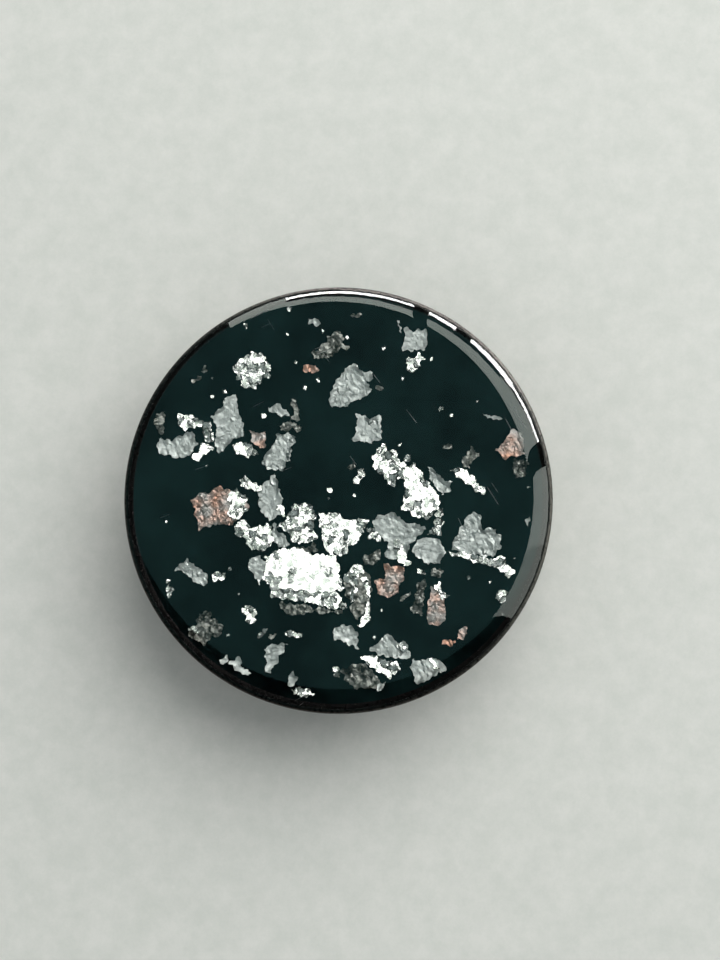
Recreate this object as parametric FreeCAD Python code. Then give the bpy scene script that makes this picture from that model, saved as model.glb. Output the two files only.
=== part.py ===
"""Round badge pin: a black metal tray filled with black enamel and clear resin over torn silver and
copper leaf, with two soldered posts and a butterfly clutch on each post.

Millimetres. The origin is the centre of the plane that the tray's back rim lies in. +Z points out of
the decorated face, X runs through both posts, and the posts and clutches reach down into -Z.
Each sub-part is written to parts/NODE.step.
"""
import FreeCAD
import Part
import math
import os

V = FreeCAD.Vector
AXIS_Z = V(0, 0, 1)

# ---- driving dimensions ----------------------------------------------------------------------
BADGE_R = 20.0            # outside of the tray
TRAY_LIP_R = 19.6         # where the resin dome ends on the lip
TRAY_BORE_R = 19.0        # inside of the wall
TRAY_BASE_R = 19.2        # edge of the back, inside its rounding
BACK_RIM_R = 16.6         # inside of the flat rim that lies on the cloth
BACK_FIELD_Z = 0.3        # the back inside that rim is sunk by this
TRAY_FLOOR_Z = 1.3
ENAMEL_TOP_Z = 2.4
LEAF_BED = 0.3            # thickness of one clear coat with leaf in it
LIP_Z = ENAMEL_TOP_Z + 2 * LEAF_BED
LIP_ROUND = BADGE_R - TRAY_LIP_R
BASE_ROUND = BADGE_R - TRAY_BASE_R

CROWN_R = 17.4            # the dome is a shallow cap inside this radius and a tight shoulder outside
CROWN_SLOPE = math.radians(6.25)
DOME_EDGE_SLOPE = math.radians(40.0)

POST_SPACING = 20.0
POST_R = 0.575
POST_TIP_R = 0.06
POST_TIP_Z = -7.6
POST_POINT = 1.2          # length of the sharpened end
POST_NECK_Z = -6.0        # middle of the groove that the clutch snaps into
POST_NECK_R = 0.455
POST_NECK_HALF = 0.22
HEAD_R = 2.4              # stamped head of the post
HEAD_THICK = 0.5
SOLDER_LEG = 0.6          # the solder reaches this far out from the head
SOLDER_HEIGHT = 0.42

CUP_R = 5.7               # clutch cup
CUP_TOP_Z = -0.55
CUP_SHEET = 0.4
CUP_DEPTH = 1.7
CUP_HOLE_R = 0.8
DIMPLES = 6
DIMPLE_PITCH_R = 3.9
DIMPLE_HEIGHT = 0.3
DIMPLE_R = 0.55

SPRING = 0.25             # spring strip thickness
STRIP_HALF = 2.2          # half the strip's width
ANCHOR = 3.9              # bend centre, out from the post
BEND_R = 0.5              # bend radius at the strip's middle
BEND_GAP = 0.02           # the bend clears the cup's floor by this
WING_RISE = math.radians(20.0)
JAW = POST_R + 0.045      # the jaw edge stands this far from the post's axis
TONGUE_HALF = 0.9
FORK_SLOT_HALF = 1.2
CROSSING = 2.4            # the wings are slotted or narrowed within this distance of the post
TAB_HALF = STRIP_HALF + 0.4   # the finger tab is a little wider than the strip
TAB_START = 2.6
TAB_ROUND = 1.1
ROOT_END = 3.4            # the wing's narrow part runs on this far, into the tab
PIERCE_CLEAR = 0.08       # the tongue's hole clears the post by this at its sides
PIERCE_LENGTH = 2 * JAW + 0.7

os.makedirs("parts", exist_ok=True)


# ---- small builders --------------------------------------------------------------------------
def turned(points):
    """A solid of revolution about Z. points are (r, z); three-item entries add an arc's mid point."""
    edges = []
    here = points[0]
    for step in points[1:] + [points[0]]:
        end = V(step[0], 0, step[1])
        if len(step) == 4:
            middle = V(step[2], 0, step[3])
            edges.append(Part.Arc(V(here[0], 0, here[1]), middle, end).toShape())
        else:
            edges.append(Part.LineSegment(V(here[0], 0, here[1]), end).toShape())
        here = step
    return Part.Face(Part.Wire(edges)).revolve(V(0, 0, 0), AXIS_Z, 360)


def arc_step(centre, radius, start_deg, end_deg):
    """The end of an arc and its mid point, as turned() takes them."""
    middle = math.radians((start_deg + end_deg) / 2)
    end = math.radians(end_deg)
    return (
        centre[0] + radius * math.cos(end),
        centre[1] + radius * math.sin(end),
        centre[0] + radius * math.cos(middle),
        centre[1] + radius * math.sin(middle),
    )


def polygon(points, z):
    """A closed flat wire at height z."""
    corners = [V(x, y, z) for x, y in points]
    return Part.makePolygon(corners + [corners[0]])


def save(name, solids):
    """One STEP for one node, from one solid or a list of separate ones."""
    shape = solids if isinstance(solids, Part.Shape) else Part.makeCompound(solids)
    if not shape.isValid():
        raise ValueError(f"{name} is not a valid shape")
    shape.exportStep(f"parts/{name}.step")
    print(f"{name:24s} solids {len(shape.Solids):3d}  volume {shape.Volume:9.3f} mm3")


# ---- tray and enamel -------------------------------------------------------------------------
def tray():
    """A cast cup: flat back rim, sunk back field, upright wall and a rounded lip."""
    profile = [
        (0, BACK_FIELD_Z),
        (BACK_RIM_R, BACK_FIELD_Z),
        (BACK_RIM_R, 0),
        (TRAY_BASE_R, 0),
        arc_step((TRAY_BASE_R, BASE_ROUND), BASE_ROUND, -90, 0),
        (BADGE_R, LIP_Z - LIP_ROUND),
        arc_step((TRAY_LIP_R, LIP_Z - LIP_ROUND), LIP_ROUND, 0, 90),
        (TRAY_BORE_R, LIP_Z),
        (TRAY_BORE_R, TRAY_FLOOR_Z),
        (0, TRAY_FLOOR_Z),
    ]
    return turned(profile)


def enamel_base():
    """The black coat that fills the bottom of the tray."""
    depth = ENAMEL_TOP_Z - TRAY_FLOOR_Z
    return Part.makeCylinder(TRAY_BORE_R, depth, V(0, 0, TRAY_FLOOR_Z))


def resin_dome():
    """The clear dome, self-levelled over the beds and the lip: a shallow cap and a rounded shoulder."""
    cap_r = CROWN_R / math.sin(CROWN_SLOPE)
    shoulder_r = (TRAY_LIP_R - CROWN_R) / (math.sin(DOME_EDGE_SLOPE) - math.sin(CROWN_SLOPE))
    shoulder_drop = shoulder_r * (math.cos(CROWN_SLOPE) - math.cos(DOME_EDGE_SLOPE))
    crown_z = LIP_Z + shoulder_drop
    cap_centre = (0, crown_z - cap_r * math.cos(CROWN_SLOPE))
    shoulder_centre = (
        CROWN_R - shoulder_r * math.sin(CROWN_SLOPE),
        crown_z - shoulder_r * math.cos(CROWN_SLOPE),
    )
    crown_deg = 90 - math.degrees(CROWN_SLOPE)
    edge_deg = 90 - math.degrees(DOME_EDGE_SLOPE)
    profile = [
        (0, LIP_Z),
        (TRAY_LIP_R, LIP_Z),
        arc_step(shoulder_centre, shoulder_r, edge_deg, crown_deg),
        arc_step(cap_centre, cap_r, crown_deg, 90),
    ]
    return turned(profile)


# ---- leaf ------------------------------------------------------------------------------------
# Torn leaf lies in two thin clear coats, LOWER and UPPER, one poured on the other. Each piece is a
# flat prism as thick as its coat, which is the height that the crumpled leaf takes up.
LOWER, UPPER = 0, 1

# Large pieces, each with the corners of its torn outline in order: (finish, coat, outline).
TORN = [
    # left: a tall smooth leaf with a crumpled group beside it
    ("smooth", LOWER, [(-9.6, 9.7), (-9.2, 8.2), (-8.8, 6.9), (-8.7, 5.7), (-9.7, 5.6), (-10.3, 4.7),
                       (-11.2, 4.3), (-11.5, 5.4), (-11.2, 6.4), (-11.9, 7.6), (-11.0, 8.4),
                       (-10.6, 9.3)]),
    ("smooth", LOWER, [(-16.6, 5.7), (-16.9, 4.6), (-16.2, 3.9), (-15.0, 3.7), (-13.7, 3.9), (-13.1, 5.0),
                       (-13.4, 5.9), (-14.3, 6.2), (-15.4, 5.5), (-16.1, 5.4)]),
    ("crumpled", UPPER, [(-14.9, 6.6), (-15.0, 7.6), (-14.2, 8.0), (-13.3, 7.5), (-11.9, 7.1),
                         (-11.6, 6.0), (-11.6, 5.2), (-12.3, 5.3), (-12.6, 6.4), (-13.6, 6.6),
                         (-14.2, 6.2)]),
    ("smoky", UPPER, [(-16.9, 7.9), (-16.2, 8.1), (-16.2, 7.0), (-16.4, 5.9), (-17.0, 6.4),
                      (-17.2, 7.2)]),
    ("crumpled", UPPER, [(-12.9, 5.1), (-11.8, 4.9), (-11.6, 4.4), (-12.4, 3.9), (-13.0, 3.4),
                         (-13.6, 3.8), (-12.8, 4.4)]),
    ("crumpled", LOWER, [(-9.7, 12.3), (-9.1, 13.2), (-8.1, 13.7), (-7.1, 13.5), (-6.3, 12.2),
                         (-6.5, 11.4), (-7.9, 10.3), (-8.8, 10.1), (-9.0, 10.7), (-9.6, 11.1)]),
    ("crumpled", UPPER, [(-9.9, 4.9), (-9.5, 4.1), (-8.6, 3.7), (-7.4, 4.0), (-7.7, 4.5), (-8.7, 5.3)]),
    ("copper", LOWER, [(-8.3, 6.3), (-7.4, 6.0), (-6.8, 6.3), (-6.7, 5.3), (-6.9, 4.5), (-7.9, 5.0),
                       (-8.1, 5.6)]),
    ("smooth", LOWER, [(-5.8, 5.9), (-4.6, 6.2), (-3.9, 5.7), (-4.3, 4.5), (-4.5, 3.5), (-5.2, 2.5),
                       (-6.4, 2.6), (-7.1, 3.4), (-6.6, 4.3), (-6.0, 4.8)]),
    ("smooth", UPPER, [(-6.6, 8.4), (-5.8, 8.8), (-4.8, 8.3), (-4.7, 7.6), (-5.7, 7.6)]),
    ("smoky", UPPER, [(-4.4, 9.2), (-4.0, 9.1), (-3.6, 8.2), (-3.8, 7.3), (-4.5, 7.2), (-4.1, 7.9),
                      (-4.3, 8.4)]),
    ("smoky", UPPER, [(-5.6, 6.7), (-4.5, 7.0), (-3.6, 6.8), (-3.6, 6.2), (-4.3, 6.3), (-5.4, 6.2)]),
    ("smooth", LOWER, [(-6.0, 2.3), (-5.4, 0.6), (-5.1, -0.5), (-5.3, -1.5), (-6.4, -2.2), (-7.3, -1.2),
                       (-7.4, 0.3), (-7.0, 1.4)]),
    ("crumpled", UPPER, [(-9.1, 1.7), (-8.6, 2.1), (-8.0, 1.4), (-7.2, 1.1), (-7.3, 0.5), (-8.2, 0.7),
                         (-9.0, 0.9)]),
    ("copper", LOWER, [(-13.7, -0.2), (-12.7, 0.5), (-12.1, 0.4), (-11.0, 1.1), (-9.8, 0.6), (-8.6, 0.2),
                       (-8.3, -0.8), (-9.0, -1.8), (-9.8, -2.5), (-11.2, -2.5), (-13.0, -3.0),
                       (-13.2, -1.6)]),
    ("crumpled", UPPER, [(-10.3, 0.3), (-9.4, 0.9), (-8.8, 0.1), (-8.4, -1.0), (-9.1, -1.9), (-9.9, -2.2),
                         (-10.2, -1.2), (-9.9, -0.5)]),
    ("crumpled", UPPER, [(-9.6, -2.5), (-8.7, -2.0), (-8.0, -2.8), (-6.6, -2.5), (-6.0, -3.5),
                         (-6.2, -4.5), (-7.4, -5.0), (-8.2, -4.6), (-8.5, -3.8), (-9.4, -3.7)]),
    # middle: the bright band of overlapping leaf
    ("crumpled", LOWER, [(-5.6, -2.7), (-4.9, -2.2), (-4.3, -0.8), (-3.4, -0.5), (-2.4, -0.7),
                         (-2.0, -1.6), (-2.3, -2.4), (-2.0, -3.8), (-2.9, -4.3), (-4.0, -4.3),
                         (-4.7, -3.3)]),
    ("smooth", LOWER, [(-6.0, -2.3), (-5.7, -3.0), (-4.9, -3.6), (-4.6, -4.4), (-5.4, -4.6), (-6.0, -4.2)]),
    ("smoky", LOWER, [(-4.3, -4.6), (-3.0, -4.6), (-2.2, -4.3), (-2.0, -5.0), (-2.9, -5.3), (-4.0, -5.0)]),
    ("crumpled", LOWER, [(-1.8, -1.4), (-0.4, -1.4), (0.6, -2.0), (2.2, -2.0), (2.8, -2.1), (2.3, -3.2),
                         (1.3, -4.4), (0.5, -5.3), (-0.8, -5.3), (-1.4, -4.2), (-1.7, -2.7)]),
    ("crumpled", UPPER, [(-6.8, -5.5), (-6.1, -5.3), (-5.6, -4.7), (-4.6, -4.6), (-3.0, -5.0),
                         (-2.6, -5.3), (-0.3, -5.3), (0.1, -6.4), (0.3, -7.6), (0.3, -8.5), (-0.6, -8.8),
                         (-2.4, -8.7), (-4.4, -8.4), (-5.9, -8.5), (-6.9, -7.6), (-6.7, -6.4)]),
    ("crumpled", LOWER, [(-6.4, -8.2), (-5.0, -8.2), (-2.5, -8.4), (-0.3, -8.5), (0.9, -10.2),
                         (-0.4, -10.2), (-2.2, -9.9), (-3.6, -9.6), (-5.2, -9.5), (-6.2, -9.2)]),
    ("smoky", LOWER, [(-5.4, -9.8), (-3.8, -9.8), (-2.3, -10.1), (-0.9, -10.4), (0.4, -10.5),
                      (-0.6, -10.8), (-2.4, -10.5), (-3.6, -10.8), (-4.8, -10.7)]),
    ("smooth", LOWER, [(-8.3, -5.6), (-7.2, -5.3), (-6.7, -6.2), (-6.9, -7.4), (-7.2, -8.2), (-8.0, -7.2),
                       (-8.4, -6.3)]),
    ("smoky", LOWER, [(1.3, -6.2), (2.3, -6.7), (3.1, -7.6), (3.1, -9.0), (2.7, -10.3), (1.7, -11.2),
                      (1.2, -10.6), (1.3, -9.6), (0.6, -8.9), (0.7, -7.6)]),
    ("crumpled", UPPER, [(1.3, -6.2), (2.1, -6.3), (2.3, -6.8), (1.8, -7.3), (1.7, -8.4), (1.5, -9.6),
                         (1.1, -9.7), (1.2, -8.0), (0.5, -7.7), (0.6, -7.1), (1.1, -7.0)]),
    ("crumpled", UPPER, [(2.2, -7.5), (2.5, -7.3), (2.9, -8.4), (3.0, -9.6), (2.9, -11.2), (2.3, -12.0),
                         (1.7, -11.9), (2.3, -11.1), (2.4, -10.3), (2.6, -9.4)]),
    ("smooth", LOWER, [(-0.4, -12.2), (0.3, -11.7), (1.4, -12.1), (1.8, -12.5), (1.8, -14.0),
                       (0.6, -13.4), (-0.3, -13.0)]),
    ("smooth", LOWER, [(3.1, -2.1), (3.9, -1.6), (5.2, -1.5), (6.2, -2.3), (7.6, -2.4), (8.2, -2.9),
                       (7.4, -3.6), (6.5, -4.3), (6.4, -5.3), (5.2, -5.8), (4.2, -5.5), (4.6, -4.1),
                       (3.4, -3.6)]),
    ("crumpled", UPPER, [(2.6, -2.8), (3.3, -2.8), (4.0, -3.5), (3.7, -4.1), (2.8, -3.8)]),
    ("smooth", UPPER, [(6.8, -5.0), (7.2, -4.0), (8.4, -3.6), (9.5, -4.1), (9.9, -5.0), (9.4, -6.1),
                       (8.3, -6.0), (7.1, -5.6)]),
    ("crumpled", UPPER, [(5.0, -4.0), (5.6, -3.8), (6.1, -4.9), (6.8, -6.3), (6.0, -6.4), (5.4, -5.5),
                         (5.1, -4.8)]),
    ("copper", LOWER, [(4.2, -6.1), (4.9, -6.3), (6.1, -6.5), (5.9, -7.8), (5.3, -8.8), (4.6, -9.3),
                       (3.6, -8.9), (3.2, -7.6), (4.3, -7.5)]),
    ("smoky", UPPER, [(2.1, -5.6), (3.1, -5.1), (3.8, -4.7), (3.8, -5.8), (2.7, -6.2)]),
    # right: a stepped column, a torn square and a long wedge with a bright folded hem
    ("crumpled", LOWER, [(3.1, 4.0), (4.1, 5.0), (4.7, 4.4), (5.4, 4.2), (5.6, 3.4), (6.2, 2.6),
                         (5.9, 1.8), (5.1, 1.1), (4.2, 1.8), (3.1, 2.9)]),
    ("crumpled", UPPER, [(6.0, 2.4), (6.9, 3.3), (7.9, 2.0), (8.8, 0.8), (9.5, -0.5), (9.2, -1.1),
                         (8.2, -2.1), (6.9, -1.7), (5.9, -1.0), (6.1, 0.6)]),
    ("crumpled", LOWER, [(9.1, -1.0), (9.7, -0.9), (9.7, -2.3), (9.4, -3.5), (8.2, -3.5), (8.8, -2.6)]),
    ("smooth", LOWER, [(8.3, 2.9), (9.0, 2.4), (9.8, 1.6), (10.6, 1.6), (10.3, 0.7), (9.7, 0.1),
                       (9.1, 0.9), (8.6, 1.7)]),
    ("smooth", LOWER, [(1.6, 7.9), (2.7, 7.5), (3.8, 7.7), (3.9, 6.5), (3.9, 5.5), (3.1, 5.0), (1.1, 5.4),
                       (1.7, 6.2)]),
    ("crumpled", UPPER, [(10.3, 2.5), (11.2, 2.9), (12.4, 2.1), (13.5, 0.8), (13.4, 0.3), (12.8, 0.5),
                         (12.0, 1.3), (10.9, 1.9)]),
    ("smoky", LOWER, [(12.4, 4.8), (13.1, 3.9), (12.3, 3.4), (12.2, 2.7), (11.6, 3.0), (11.4, 3.8),
                      (12.0, 4.2)]),
    ("copper", LOWER, [(16.4, 6.5), (17.1, 6.0), (17.2, 4.7), (17.4, 4.1), (16.4, 3.8), (15.4, 3.6),
                       (14.6, 4.5), (15.4, 5.1), (15.9, 6.1)]),
    ("smoky", UPPER, [(16.3, 3.6), (17.2, 3.7), (17.7, 3.1), (17.3, 2.6), (17.4, 2.0), (16.4, 1.8),
                      (16.1, 2.7)]),
    ("smooth", LOWER, [(12.5, -1.3), (13.1, -1.8), (13.4, -3.0), (14.6, -2.9), (15.1, -3.9), (14.9, -4.8),
                       (14.3, -5.6), (10.3, -4.9), (10.8, -3.6), (11.8, -2.0)]),
    ("crumpled", UPPER, [(10.1, -4.9), (12.3, -5.2), (14.1, -5.6), (15.1, -5.2), (15.6, -6.2),
                         (16.3, -6.9), (15.7, -7.6), (15.0, -6.6), (13.8, -6.3), (10.3, -5.3)]),
    ("copper", LOWER, [(8.6, -8.2), (9.5, -8.7), (9.9, -10.0), (9.9, -11.2), (9.2, -11.9), (8.3, -11.6),
                       (8.1, -10.6), (8.3, -9.2)]),
    ("crumpled", UPPER, [(8.8, -8.1), (9.3, -7.8), (9.6, -8.4), (10.3, -9.1), (9.6, -9.5), (9.1, -8.8)]),
    ("smoky", LOWER, [(7.2, -8.0), (7.9, -7.4), (8.2, -8.2), (7.9, -9.6), (7.7, -10.9), (6.6, -10.5),
                      (7.0, -9.4)]),
    # top: a copper-edged leaf, a torn square with a bright knot under it and a smoky curl
    ("smooth", LOWER, [(-0.9, 9.2), (-0.4, 10.6), (0.4, 12.0), (1.4, 12.7), (2.0, 12.0), (3.2, 11.8),
                       (3.3, 11.1), (2.6, 10.8), (3.0, 10.1), (2.4, 9.4), (1.5, 9.2), (0.6, 8.5),
                       (-0.6, 8.5)]),
    ("smoky", LOWER, [(-2.6, 13.6), (-1.7, 14.2), (-1.1, 14.9), (-0.2, 15.8), (0.4, 15.3), (0.5, 14.6),
                      (1.0, 14.1), (0.1, 13.9), (-0.9, 13.1), (-2.2, 13.0)]),
    ("smooth", LOWER, [(6.2, 16.0), (7.2, 15.8), (8.2, 15.8), (8.3, 14.8), (8.1, 13.9), (6.9, 13.8),
                       (6.0, 13.9), (6.1, 15.0)]),
    ("crumpled", UPPER, [(7.4, 13.8), (7.8, 13.3), (8.1, 13.0), (7.5, 12.6), (7.4, 12.0), (6.6, 11.9),
                         (6.2, 12.6), (6.5, 13.2), (7.1, 13.0)]),
    # bottom: a folded leaf, a dark crumple and scattered scraps
    ("smooth", LOWER, [(2.9, -14.0), (3.9, -13.2), (4.6, -12.6), (5.4, -13.4), (6.2, -13.3), (6.7, -14.2),
                       (6.3, -14.9), (5.0, -14.8), (3.4, -14.3)]),
    ("crumpled", UPPER, [(2.0, -14.7), (3.0, -14.5), (4.5, -15.0), (5.8, -15.3), (5.6, -16.0),
                         (4.7, -16.7), (3.6, -15.9), (2.6, -15.3)]),
    ("smoky", LOWER, [(0.3, -15.8), (1.4, -15.4), (2.4, -15.3), (3.4, -16.3), (3.9, -17.1), (3.2, -17.6),
                      (1.6, -17.6), (0.7, -16.9)]),
    ("smooth", LOWER, [(6.9, -14.8), (7.6, -15.2), (8.4, -14.8), (9.2, -15.0), (9.9, -15.8), (9.1, -16.2),
                       (8.2, -16.7), (7.2, -17.1), (6.9, -16.5), (6.5, -15.7)]),
    ("smooth", LOWER, [(-6.8, -14.0), (-6.2, -13.5), (-4.6, -13.5), (-5.2, -14.2), (-5.7, -15.3),
                       (-6.2, -16.2), (-6.9, -16.0), (-6.5, -15.0)]),
    ("smoky", LOWER, [(-13.7, -11.9), (-13.0, -11.7), (-12.7, -10.8), (-11.9, -10.4), (-11.5, -11.2),
                      (-10.6, -11.9), (-10.8, -12.6), (-11.8, -13.0), (-12.2, -13.6), (-13.0, -13.2),
                      (-13.7, -12.6)]),
    ("crumpled", LOWER, [(-8.9, -10.2), (-8.2, -9.9), (-7.5, -10.5), (-7.8, -11.6), (-8.6, -11.4)]),
    ("smooth", LOWER, [(-10.0, -15.2), (-9.3, -14.6), (-8.8, -15.0), (-8.9, -15.5), (-7.9, -16.1),
                       (-8.4, -16.3), (-9.5, -15.8)]),
    ("smooth", LOWER, [(-15.1, -6.6), (-14.0, -5.6), (-13.2, -6.3), (-12.2, -6.9), (-12.0, -7.5),
                       (-12.4, -8.2), (-13.4, -7.7), (-14.2, -7.0)]),
]

# Small chips: (finish, coat, x, y, length, width, turn in degrees).
CHIPS = [
    ("crumpled", UPPER, -11.1, -7.3, 1.6, 0.9, 30), ("crumpled", LOWER, -7.0, -12.5, 1.4, 0.5, 50),
    ("crumpled", LOWER, -4.1, -12.6, 2.1, 0.7, -5), ("crumpled", LOWER, -3.3, -17.9, 2.2, 0.7, -8),
    ("smooth", LOWER, -4.3, -16.7, 1.4, 0.9, 80), ("smoky", UPPER, -6.1, -12.8, 0.8, 0.5, 20),
    ("smooth", LOWER, -10.5, -14.9, 1.0, 0.6, 55), ("crumpled", LOWER, -15.6, -8.6, 1.3, 0.6, 100),
    ("crumpled", LOWER, 1.9, 2.0, 1.8, 0.6, 60), ("crumpled", LOWER, 7.7, -6.9, 1.0, 0.5, -30),
    ("smoky", LOWER, 6.1, -9.2, 1.4, 0.4, 40), ("copper", LOWER, 10.2, -13.4, 1.3, 0.6, 15),
    ("copper", LOWER, 11.4, -12.5, 1.4, 0.7, 60), ("smooth", UPPER, 3.9, -17.4, 1.3, 0.4, 45),
    ("crumpled", UPPER, -0.1, -16.2, 1.0, 0.7, -60), ("crumpled", UPPER, 6.3, 3.4, 1.5, 0.5, 55),
    ("smooth", LOWER, -2.3, 16.6, 1.4, 0.7, -15), ("copper", LOWER, -2.6, 12.1, 1.5, 0.9, -10),
    ("smoky", LOWER, 3.8, 10.3, 0.9, 0.6, -10), ("crumpled", LOWER, 15.0, -9.1, 1.3, 1.1, 40),
    ("smooth", LOWER, 17.6, -2.2, 1.1, 0.4, 85), ("smoky", LOWER, 9.1, -6.9, 1.2, 0.7, 10),
    ("smoky", LOWER, -12.6, 12.1, 0.9, 0.6, 60), ("smoky", LOWER, -13.3, 11.1, 1.0, 0.4, 25),
    ("smoky", LOWER, 10.1, 4.8, 0.9, 0.5, 20), ("smoky", LOWER, 1.7, 17.2, 1.2, 0.4, 5),
    ("smooth", LOWER, 5.7, 16.1, 0.4, 1.2, 5), ("smoky", LOWER, 1.2, 2.9, 0.9, 0.5, 70),
    ("crumpled", UPPER, 5.9, -14.0, 1.2, 0.7, -40), ("crumpled", UPPER, 8.9, -15.5, 1.6, 0.5, -50),
    ("crumpled", UPPER, -13.3, -12.2, 1.1, 0.6, -15), ("smooth", UPPER, 14.4, 7.6, 2.0, 0.4, -12),
    ("crumpled", UPPER, -5.2, -1.3, 1.3, 0.5, -50),
]

# Specks, all bright: (x, y, size).
SPECKS = [
    (-8.7, 16.2, 0.7), (-4.6, 17.8, 0.6), (-10.7, 10.0, 0.6), (-11.8, 9.5, 0.4), (-6.9, 7.6, 0.7),
    (-4.0, 12.7, 0.5), (-1.9, 11.1, 0.5), (-3.1, 10.3, 0.5), (0.8, 15.1, 0.4), (4.2, 14.1, 0.5),
    (8.7, 13.0, 0.4), (-12.3, 3.0, 0.4), (9.6, 8.4, 0.6), (10.5, 7.7, 0.4), (-0.8, 0.7, 0.6),
    (-0.9, -0.1, 0.3), (17.6, 1.0, 0.4), (-16.0, -2.2, 0.3), (-9.2, -8.9, 0.4), (3.3, -12.9, 0.5),
    (12.0, -7.4, 0.3), (14.0, -7.8, 0.3), (15.1, -10.7, 0.4), (-10.0, -6.6, 0.5), (13.0, 9.1, 0.3),
    (5.7, 4.9, 0.4), (-11.8, 11.2, 0.4), (-15.7, -7.7, 0.4), (-10.2, -12.7, 0.4), (6.0, 11.2, 0.4),
    (-1.5, 15.7, 0.4), (4.0, -10.4, 0.3), (16.3, -5.6, 0.3), (-4.8, 15.4, 0.3), (1.5, 0.2, 0.4),
]


def chip_outline(x, y, length, width, turn):
    """A six-cornered scrap: wide in the middle, blunt at one end and pointed at the other."""
    corners = [(-0.5, 0.1), (-0.2, 0.5), (0.25, 0.4), (0.5, -0.05), (0.1, -0.5), (-0.35, -0.35)]
    c, s = math.cos(math.radians(turn)), math.sin(math.radians(turn))
    return [(x + u * length * c - v * width * s, y + u * length * s + v * width * c) for u, v in corners]


def speck_outline(x, y, size):
    """A four-cornered grain whose turn follows from its place."""
    turn = math.atan2(y, x)
    reach = [0.5, 0.42, 0.5, 0.36]
    return [
        (x + size * r * math.cos(turn + i * math.pi / 2), y + size * r * math.sin(turn + i * math.pi / 2))
        for i, r in enumerate(reach)
    ]


def leaf_pieces():
    """Every piece of leaf as (finish, coat, outline)."""
    chips = [(finish, coat, chip_outline(*place)) for finish, coat, *place in CHIPS]
    specks = [("specks", LOWER, speck_outline(*place)) for place in SPECKS]
    return TORN + chips + specks


def coat_z(coat):
    """Height of the bottom of a clear coat."""
    return ENAMEL_TOP_Z + coat * LEAF_BED


def leaf_solids(finish):
    """All the separate pieces of one finish."""
    return [
        Part.Face(polygon(outline, coat_z(coat))).extrude(V(0, 0, LEAF_BED))
        for kind, coat, outline in leaf_pieces()
        if kind == finish
    ]


def resin_coat(coat):
    """One clear coat, a disc with an opening the shape of each piece of leaf that lies in it."""
    edge = Part.Wire(Part.makeCircle(TRAY_BORE_R, V(0, 0, coat_z(coat))))
    openings = [polygon(outline, coat_z(coat)) for _, where, outline in leaf_pieces() if where == coat]
    return Part.makeFace([edge] + openings, "Part::FaceMakerBullseye").extrude(V(0, 0, LEAF_BED))


# ---- post ------------------------------------------------------------------------------------
def post(x):
    """A stamped head, a round shaft with a snap groove, and a sharpened end."""
    head_z = BACK_FIELD_Z - HEAD_THICK
    profile = [
        (0, BACK_FIELD_Z),
        (HEAD_R, BACK_FIELD_Z),
        (HEAD_R, head_z),
        (POST_R, head_z),
        (POST_R, POST_NECK_Z + 2 * POST_NECK_HALF),
        (POST_NECK_R, POST_NECK_Z + POST_NECK_HALF),
        (POST_NECK_R, POST_NECK_Z - POST_NECK_HALF),
        (POST_R, POST_NECK_Z - POST_NECK_HALF),
        (POST_R, POST_TIP_Z + POST_POINT),
        (POST_TIP_R, POST_TIP_Z),
        (0, POST_TIP_Z),
    ]
    return turned(profile).translated(V(x, 0, 0))


def solder_bead(x):
    """The bead of solder round the post's head, against the tray."""
    top, low = BACK_FIELD_Z, BACK_FIELD_Z - SOLDER_HEIGHT
    reach = HEAD_R + SOLDER_LEG
    bulge = (HEAD_R + 0.72 * SOLDER_LEG, top - 0.55 * SOLDER_HEIGHT)
    profile = [(HEAD_R, top), (HEAD_R, low), (HEAD_R + 0.15 * SOLDER_LEG, low), (reach, top, *bulge)]
    return turned(profile).translated(V(x, 0, 0))


# ---- butterfly clutch ------------------------------------------------------------------------
# The strip runs along Y. Both wings start in a bend at one end of it, cross over at the post and
# flare out on the other side: the fork passes outside the tongue.
WEB_Z = CUP_TOP_Z - CUP_SHEET
BEND_Z = WEB_Z - BEND_GAP - SPRING / 2 - BEND_R
BEND_END = math.radians(90) + WING_RISE

# The wing's middle line beyond the crossing, as (out from the post, down from the crossing).
FLARE = [(2.2, 0.85), (3.55, 1.85), (4.45, 2.95), (5.4, 3.8), (6.7, 4.2)]


def clutch_cup(x):
    """A stamped cup with a hole for the post and a ring of dimples that grip the cloth."""
    wall = CUP_R - CUP_SHEET
    low = CUP_TOP_Z - CUP_DEPTH
    lip = CUP_SHEET / 2
    profile = [
        (CUP_HOLE_R, CUP_TOP_Z),
        (CUP_R - CUP_SHEET, CUP_TOP_Z),
        arc_step((wall, CUP_TOP_Z - CUP_SHEET), CUP_SHEET, 90, 0),
        (CUP_R, low + lip),
        arc_step((CUP_R - lip, low + lip), lip, 0, -180),
        (wall, WEB_Z),
        (CUP_HOLE_R, WEB_Z),
    ]
    cup = turned(profile)
    ball_r = (DIMPLE_R**2 + DIMPLE_HEIGHT**2) / (2 * DIMPLE_HEIGHT)
    for i in range(DIMPLES):
        a = (i + 0.5) * 2 * math.pi / DIMPLES
        centre = V(DIMPLE_PITCH_R * math.cos(a), DIMPLE_PITCH_R * math.sin(a), 0)
        dimple = Part.makeSphere(ball_r, centre + V(0, 0, CUP_TOP_Z + DIMPLE_HEIGHT - ball_r))
        rooted = CUP_SHEET / 2
        foot = centre + V(0, 0, CUP_TOP_Z - rooted)
        kept = Part.makeCylinder(DIMPLE_R + 0.1, rooted + DIMPLE_HEIGHT, foot)
        cup = cup.fuse(dimple.common(kept))
    return cup.removeSplitter().Solids[0].translated(V(x, 0, 0))


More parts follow.
